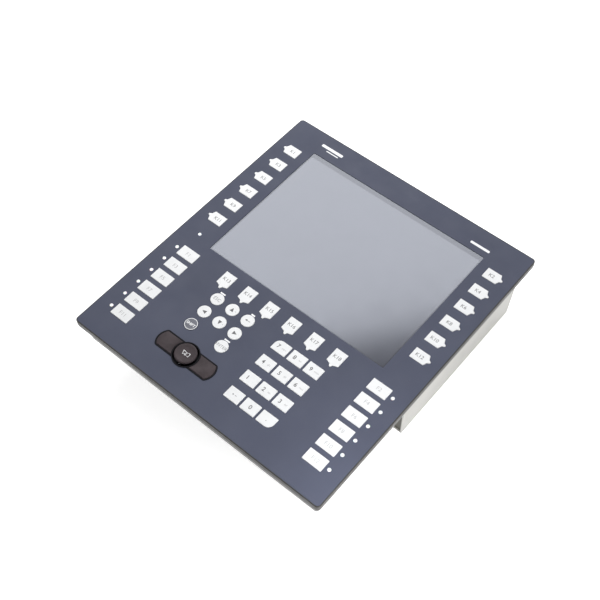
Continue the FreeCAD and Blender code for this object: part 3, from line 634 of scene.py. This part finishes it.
lens_white = surface("lens white", (0.85, 0.86, 0.87), 0.22, cloud=0.02, cloud_size=2.0, coat=0.3)
LENS_MILKY = 0.2
LENS_DEEP = 0.8
milky = lens_white.node_tree.nodes["Principled BSDF"]
milky.inputs["Subsurface Weight"].default_value = LENS_MILKY
milky.inputs["Subsurface Scale"].default_value = LENS_DEEP * MM
coat("light_lenses", lens_white)


# Pointing device ------------------------------------------------------------------------------
# A black moulded surround with a raised round collar. In the collar a rubber-coated thumb disc tips on a
# gimbal ring, and a click button fills each end of the surround.

pointer_black = surface("pointer black", (0.006, 0.006, 0.009), 0.55, gloss=0.1, cloud=0.1, cloud_size=10.0,
                        grain=0.3, grain_size=0.35)
pointer_brown = surface("pointer brown", (0.055, 0.043, 0.047), 0.6, gloss=0.18, cloud=0.12, cloud_size=7.0,
                        grain=0.4, grain_size=0.3, worn=(0.075, 0.064, 0.067), wear=0.8)
coat("pointer_housing", pointer_black)
gimbal_steel = surface("gimbal steel", (0.6, 0.6, 0.61), 0.3, metal=1.0, cloud=0.05, grain=0.1)
coat("pointer_gimbal_ring", gimbal_steel)
coat("pointer_stem", pointer_black)

DISC_DISH = 1.0             # depth of the dish in the middle
DISC_DISH_R = 45.0
disc_low, disc_high = box_mm("pointer_disc")
pointer = (disc_low + disc_high) / 2
disc_r = (disc_high.x - disc_low.x) / 2
disc_top = disc_high.z


def dish(x, y):
    """Height of the disc's hollow top."""
    far = (x - pointer.x) ** 2 + (y - pointer.y) ** 2
    return disc_top - DISC_DISH + far / (2 * DISC_DISH_R)


DISH_RADII = (2.5, 5.0, 7.0, 8.4)
profile = [(0.0, disc_top - DISC_DISH)]
for radius in DISH_RADII:
    profile.append((radius, dish(pointer.x + radius, pointer.y) - 0.02))
# The rounded rim outside the dish, then the side and the underside.
profile += [(9.2, disc_top - 0.05), (9.7, disc_top - 0.02), (10.2, disc_top - 0.16)]
profile += [(disc_r - 0.2, disc_top - 0.45), (disc_r, disc_top - 0.85)]
profile += [(disc_r, disc_low.z + 0.15), (disc_r - 0.15, disc_low.z), (0.0, disc_low.z)]
bm = bmesh.new()
turned(bm, profile, pointer.x, pointer.y, 72)
piece("thumb_disc", bm, pointer_brown, "pointer_disc", ["pointer_disc"])

ICON_LINE = 0.42
ARROW_SIGN = [(-3.6, 1.9), (-2.2, -2.0), (-0.9, -0.6), (0.4, -2.0),
              (1.3, -1.2), (0.0, 0.2), (1.3, 1.2), (-3.6, 1.9)]
HOOK_SIGN = [(2.0, 1.9), (4.2, 1.9), (4.2, -1.6), (2.6, -1.6)]


def add_line(bm, path, width):
    """A drawn line: one flat bar for each run, with a round spot at each corner, lying in the dish."""
    verts = []
    for (x0, y0), (x1, y1) in zip(path, path[1:]):
        run = Vector((x1 - x0, y1 - y0)).normalized() * width / 2
        outline = [(x0 + run.y, y0 - run.x), (x1 + run.y, y1 - run.x)]
        outline += [(x1 - run.y, y1 + run.x), (x0 - run.y, y0 + run.x)]
        verts += slab(bm, outline, 0.0, PRINT * 2)
    for x, y in path:
        verts += slab(bm, circle(x, y, width / 2, 12), 0.0, PRINT * 2.3)
    return verts


bm = bmesh.new()
verts = add_line(bm, ARROW_SIGN, ICON_LINE) + add_line(bm, HOOK_SIGN, ICON_LINE)
for v in verts:
    v.co.x += pointer.x
    v.co.y += pointer.y
    v.co.z += dish(v.co.x, v.co.y) - PRINT
piece("disc_sign", bm, white_ink, "pointer_disc")

BAR_LONG = 69.2
BAR_HIGH = 19.9
BAR_END_R = 13.9
COLLAR_R = 13.5
COLLAR_GAP = 0.25
BUTTON_INSET = 1.55         # wall of the surround and the gap beside the button
BUTTON_STEM_X = 23.5        # from the middle of the device to a button's stem
BUTTON_STEM_R = 3.0
BUTTON_STEM_TOP = -1.4      # from the button's top, inside its cap
# How far each ring of a button's cap lies in from its outline, and its height from the button's top.
BUTTON_RINGS = [(0.0, -1.7), (0.0, -0.55), (0.06, -0.32), (0.22, -0.12), (0.5, 0.0)]
FAR_STEPS = 6
NEAR_STEPS = 7


def button_outline(side):
    """A click button: bowed outer end, hollow inner end round the collar."""
    high = BAR_HIGH / 2 - BUTTON_INSET
    far_r = BAR_END_R - BUTTON_INSET
    far_x = BAR_LONG / 2 - BUTTON_INSET - far_r
    near_r = COLLAR_R + COLLAR_GAP
    far_turn = math.asin(high / far_r)
    near_turn = math.asin(high / near_r)
    points = []
    for i in range(2 * FAR_STEPS + 1):
        turn = far_turn * (i / FAR_STEPS - 1)
        points.append((far_x + far_r * math.cos(turn), far_r * math.sin(turn)))
    for i in range(2 * NEAR_STEPS + 1):
        turn = near_turn * (1 - i / NEAR_STEPS)
        points.append((near_r * math.cos(turn), near_r * math.sin(turn)))
    if side < 0:
        points = [(-x, y) for x, y in points[::-1]]
    return [(pointer.x + x, pointer.y + y) for x, y in points]


for side, name in ((-1, "pointer_left_button"), (1, "pointer_right_button")):
    low, high = box_mm(name)
    outline = button_outline(side)
    bm = bmesh.new()
    stacked(bm, [[(x, y, high.z + up) for x, y in shrunk(outline, inset)] for inset, up in BUTTON_RINGS])
    stem = circle(pointer.x + side * BUTTON_STEM_X, pointer.y, BUTTON_STEM_R, 24)
    slab(bm, stem, low.z, high.z + BUTTON_STEM_TOP)
    piece("click_" + name, bm, pointer_brown, name, [name])


# Tray and seal --------------------------------------------------------------------------------
# The tray behind the bezel is folded aluminium sheet, painted light grey, with slots for the clamps. A
# black foam seal lies behind its flange.

tray_light = surface("tray paint", (0.24, 0.24, 0.235), 0.45, gloss=0.3, cloud=0.04, grain=0.3,
                     grain_size=0.5, worn=(0.45, 0.45, 0.45), wear=0.5)
coat("chassis_tray", tray_light)
seal_foam = surface("seal foam", (0.03, 0.03, 0.031), 0.85, gloss=0.2, cloud=0.2, cloud_size=4.0, grain=1.0,
                    grain_size=0.7)
coat("panel_gasket", seal_foam)


# Rear housing ---------------------------------------------------------------------------------
# A folded steel box, powder coated light warm grey, with rows of vent slots. Four countersunk screws hold
# it to the chassis. A blank rating plate is stuck on its left wall.

housing_light = surface("powder coat", (0.5, 0.495, 0.47), 0.5, cloud=0.03, grain=0.6, grain_size=0.7,
                        worn=(0.42, 0.42, 0.42), wear=0.5)
coat("rear_cover", housing_light)
screw_steel = surface("screw steel", (0.55, 0.55, 0.55), 0.32, metal=1.0, cloud=0.06, grain=0.15,
                      grain_size=0.2)
coat("cover_screws", screw_steel)

PLATE_LONG = 58.0
PLATE_HIGH = 20.0
PLATE_CORNER = 1.5
PLATE_THICK = 0.25
PLATE_SUNK = 0.1            # how far its back lies in the wall's paint
cover_low, cover_high = box_mm("rear_cover")
foil_silver = surface("plate foil", (0.62, 0.63, 0.64), 0.35, metal=0.6, cloud=0.04, cloud_size=9.0)
bm = bmesh.new()
cover_middle = (cover_low + cover_high) / 2
outline = rounded(cover_middle.y, cover_middle.z, PLATE_LONG, PLATE_HIGH, [PLATE_CORNER] * 4)
verts = slab(bm, outline, 0.0, PLATE_THICK + PLATE_SUNK)
for v in verts:
    v.co = (cover_low.x - PLATE_THICK + v.co.z, v.co.x, v.co.y)
piece("rating_plate", bm, foil_silver, "panel")


# End plate and card door ----------------------------------------------------------------------
# A steel plate closes the socket end of the housing and carries two ears for the card door's hinge. The
# door is moulded plastic with a finger lip.

# The end plate's dark olive colour is partly its own dark paint and partly painted shade, made darker to
# stand in for the shadow under the keypad overhang.
end_plate_dark_and_shade = surface("end plate paint and painted shade", (0.075, 0.073, 0.058), 0.5, cloud=0.06, grain=0.5, grain_size=0.6,
                         worn=(0.3, 0.3, 0.29), wear=0.4)
coat("connector_plate", end_plate_dark_and_shade)
door_dark = surface("door plastic", (0.04, 0.04, 0.039), 0.48, cloud=0.06, grain=0.5, grain_size=0.5,
                    worn=(0.1, 0.1, 0.1), wear=0.5)
coat("card_door", door_dark)
socket_black = surface("socket plastic", (0.014, 0.014, 0.016), 0.4, cloud=0.08, grain=0.2)
coat("card_slot", socket_black)

# Places of the screws across and up the plate.
PLATE_SCREWS = [(-134.0, 9.0), (-134.0, 33.0), (-46.0, 9.0), (40.0, 7.0), (126.0, 9.0), (126.0, 33.0)]
SCREW_R = 2.7
# Shares of a screw's radius: how wide each ring of its dome is and how high it stands, and the cross.
DOME = ((1.0, 0.0), (1.0, 0.2), (0.88, 0.42), (0.7, 0.54))
CROSS_HALF = 0.13
CROSS_REACH = 0.55
CROSS_HEIGHTS = (0.56, 0.2)
SLOT_BEHIND = 1.2           # how far the card slot lies behind the plate's outer face
plate_face = box_mm("card_slot")[0].y - SLOT_BEHIND


def add_screw(bm, x, z, face, radius):
    """A domed screw head with a cross recess, on a wall that faces the socket end."""
    half = radius * CROSS_HALF
    far = radius * CROSS_REACH
    quarter = [(far, -half), (far, half), (half, half)]
    corners = []
    for i in range(4):
        c, s = ((1, 0), (0, 1), (-1, 0), (0, -1))[i]
        corners += [(a * c - b * s, a * s + b * c) for a, b in quarter]
    cross = []
    for (a, b), (c, d) in zip(corners, corners[1:] + corners[:1]):
        cross += [(a, b), ((a + c) / 2, (b + d) / 2)]
    rings = []
    for reach, height in DOME:
        scales = [reach * radius / math.hypot(a, b) for a, b in cross]
        rings.append([(x + a * k, face - height * radius, z + b * k) for (a, b), k in zip(cross, scales)])
    for height in CROSS_HEIGHTS:
        rings.append([(x + a, face - height * radius, z + b) for a, b in cross])
    stacked(bm, rings)


bm = bmesh.new()
for x, z in PLATE_SCREWS:
    add_screw(bm, x, z, plate_face + 0.05, SCREW_R)
piece("plate_screws", bm, screw_steel, "panel")


# Sockets --------------------------------------------------------------------------------------
# Plated shells with black insulators and gilt contacts, a green plug-in terminal for the supply, and the
# earth stud with its washer and nut.

socket_metal = surface("plated shell", (0.7, 0.7, 0.7), 0.25, metal=1.0, cloud=0.05, grain=0.1)
terminal_green = surface("terminal green", (0.012, 0.12, 0.05), 0.42, cloud=0.06, grain=0.25, grain_size=0.4)
stud_brass = surface("stud brass", (0.62, 0.46, 0.2), 0.3, metal=1.0, cloud=0.08, cloud_size=3.0, grain=0.15)
contact_gold = surface("contact gold", (0.85, 0.62, 0.25), 0.22, metal=1.0, cloud=0.03)
coat("serial_socket", socket_metal)
coat("data_sockets", socket_metal)
coat("power_terminal", terminal_green)
coat("earth_stud", stud_brass)


def block(bm, low, high):
    """Plain block between two opposite corners."""
    return bar(bm, low[0], high[0], low[1], high[1], low[2], high[2])


shell_low, shell_high = box_mm("serial_socket")
serial_x = (shell_low.x + shell_high.x) / 2
SERIAL_Z = 29.2
SHELL_OUT = 6.0             # how far the shell stands out of the plate
shell_face = plate_face - SHELL_OUT
INSULATOR = [(-7.6, 3.4), (7.6, 3.4), (6.3, -3.4), (-6.3, -3.4)]
PIN_PITCH = 2.77
PIN_RIM_R = 0.55
PIN_BORE_R = 0.3
PIN_ROWS = [(1.42, 5), (-1.42, 4)]              # height of a row from the middle, and its pins

bm = bmesh.new()
depths = (shell_face + 1.0, shell_face - 0.15)
stacked(bm, [[(serial_x + x, y, SERIAL_Z + z) for x, z in INSULATOR] for y in depths])
piece("serial_insulator", bm, socket_black, "panel")
bm = bmesh.new()
for drop, count in PIN_ROWS:
    for i in range(count):
        x = serial_x + (i - (count - 1) / 2) * PIN_PITCH
        spot = circle(x, SERIAL_Z + drop, PIN_RIM_R, 16)
        hollow = circle(x, SERIAL_Z + drop, PIN_BORE_R, 16)
        rings = [[(a, y, b) for a, b in spot] for y in (shell_face, shell_face - 0.25)]
        rings += [[(a, y, b) for a, b in hollow] for y in (shell_face - 0.25, shell_face - 0.1)]
        stacked(bm, rings)
piece("serial_contacts", bm, contact_gold, "panel")

NETWORK_X = (-30.0, -10.0)
NETWORK_CONTACTS = 8
NETWORK_PITCH = 1.02
LAMP_SIDE = 5.2             # from the middle of a mouth to its two lamps
LAMP_Z = 23.8
LAMP_WIDE = 2.6
LAMP_HIGH = 1.6
SPRING_HALF = 0.22
MOUTH_TOP = 33.8
SPRING_LONG = 11.3          # contact springs that slope down from the mouth's roof
SPRING_DROP = 2.6
socket_face = box_mm("data_sockets")[0].y
spring_front = socket_face + 1.5
bm = bmesh.new()
for middle in NETWORK_X:
    for i in range(NETWORK_CONTACTS):
        x = middle + (i - (NETWORK_CONTACTS - 1) / 2) * NETWORK_PITCH
        spring = block(bm, (x - SPRING_HALF, spring_front, MOUTH_TOP - 0.35),
                       (x + SPRING_HALF, spring_front + SPRING_LONG, MOUTH_TOP - 0.1))
        for v in spring:
            v.co.z -= SPRING_DROP * max(0.0, v.co.y - spring_front) / SPRING_LONG
piece("network_contacts", bm, contact_gold, "panel")
bm = bmesh.new()
for middle in NETWORK_X:
    for side in (-1, 1):
        outline = rounded(middle + side * LAMP_SIDE, LAMP_Z, LAMP_WIDE, LAMP_HIGH, [0.3] * 4, 3)
        stacked(bm, [[(x, y, z) for x, z in outline] for y in (socket_face + 0.3, socket_face - 0.12)])
piece("network_lamps", bm, lens_white, "panel")

USB_X = 12.0
TONGUE_HALF = 5.4
TONGUE_UNDER = 32.3
TONGUE_THICK = 1.8
USB_CONTACTS = 4
USB_PITCH = 2.3
USB_HALF = 0.5
bm = bmesh.new()
block(bm, (USB_X - TONGUE_HALF, socket_face + 0.9, TONGUE_UNDER),
      (USB_X + TONGUE_HALF, socket_face + 10.0, TONGUE_UNDER + TONGUE_THICK))
piece("usb_tongue", bm, socket_black, "panel")
bm = bmesh.new()
for i in range(USB_CONTACTS):
    x = USB_X + (i - (USB_CONTACTS - 1) / 2) * USB_PITCH
    block(bm, (x - USB_HALF, socket_face + 1.2, TONGUE_UNDER - 0.15),
          (x + USB_HALF, socket_face + 9.0, TONGUE_UNDER + 0.1))
piece("usb_contacts", bm, contact_gold, "panel")

terminal_low, terminal_high = box_mm("power_terminal")
terminal_x = (terminal_low.x + terminal_high.x) / 2
WIRE_PITCH = 5.6
CLAMP_HALF = 1.7
CLAMP_SCREW_R = 1.6
CLAMP_LIPS = (2.25, 5.35)   # heights of a clamp's lower and upper lip
LIP_THICK = 0.4
CLAMP_SCREW_UP = 9.6
CLAMP_SCREW_BACK = 3.6
bm = bmesh.new()
for i in (-1, 0, 1):
    x = terminal_x + i * WIRE_PITCH
    add_screw(bm, x, terminal_low.z + CLAMP_SCREW_UP, terminal_low.y + CLAMP_SCREW_BACK, CLAMP_SCREW_R)
    for up in CLAMP_LIPS:
        block(bm, (x - CLAMP_HALF, terminal_low.y + 1.6, terminal_low.z + up),
              (x + CLAMP_HALF, terminal_low.y + 6.9, terminal_low.z + up + LIP_THICK))
piece("terminal_clamps", bm, screw_steel, "panel")

STUD_SIGN_X = -122.0
STUD_SIGN_Z = 27.0
LABEL_SIDE = 10.0
# Strokes of the earth sign: half width, lower end and upper end.
EARTH_STROKES = [(0.3, 0.0, 3.4), (3.0, -0.3, 0.3), (2.0, -1.6, -1.0), (1.0, -2.9, -2.3)]
bm = bmesh.new()
outline = rounded(STUD_SIGN_X, STUD_SIGN_Z, LABEL_SIDE, LABEL_SIDE, [1.0] * 4)
stacked(bm, [[(x, y, z) for x, z in outline] for y in (plate_face + 0.1, plate_face - 0.2)])
piece("earth_label", bm, foil_silver, "panel")
bm = bmesh.new()
for half, low, high in EARTH_STROKES:
    block(bm, (STUD_SIGN_X - half, plate_face - 0.24, STUD_SIGN_Z + low),
          (STUD_SIGN_X + half, plate_face - 0.15, STUD_SIGN_Z + high))
piece("earth_sign", bm, bold_ink, "panel")


# Inside parts ---------------------------------------------------------------------------------
# The display unit, the boards and the zinc-plated chassis plate, seen only through gaps and vents.

module_metal = surface("display frame", (0.55, 0.56, 0.57), 0.35, metal=1.0, cloud=0.05, grain=0.2)
circuit_board = surface("solder mask", (0.012, 0.09, 0.035), 0.35, cloud=0.1, cloud_size=8.0, grain=0.3)
zinc_steel = surface("zinc plating", (0.6, 0.61, 0.62), 0.36, metal=1.0, cloud=0.1, cloud_size=12.0,
                     grain=0.2)
coat("lcd_module", module_metal)
coat("keypad_board", circuit_board)
coat("main_board", circuit_board)
coat("chassis_plate", zinc_steel)
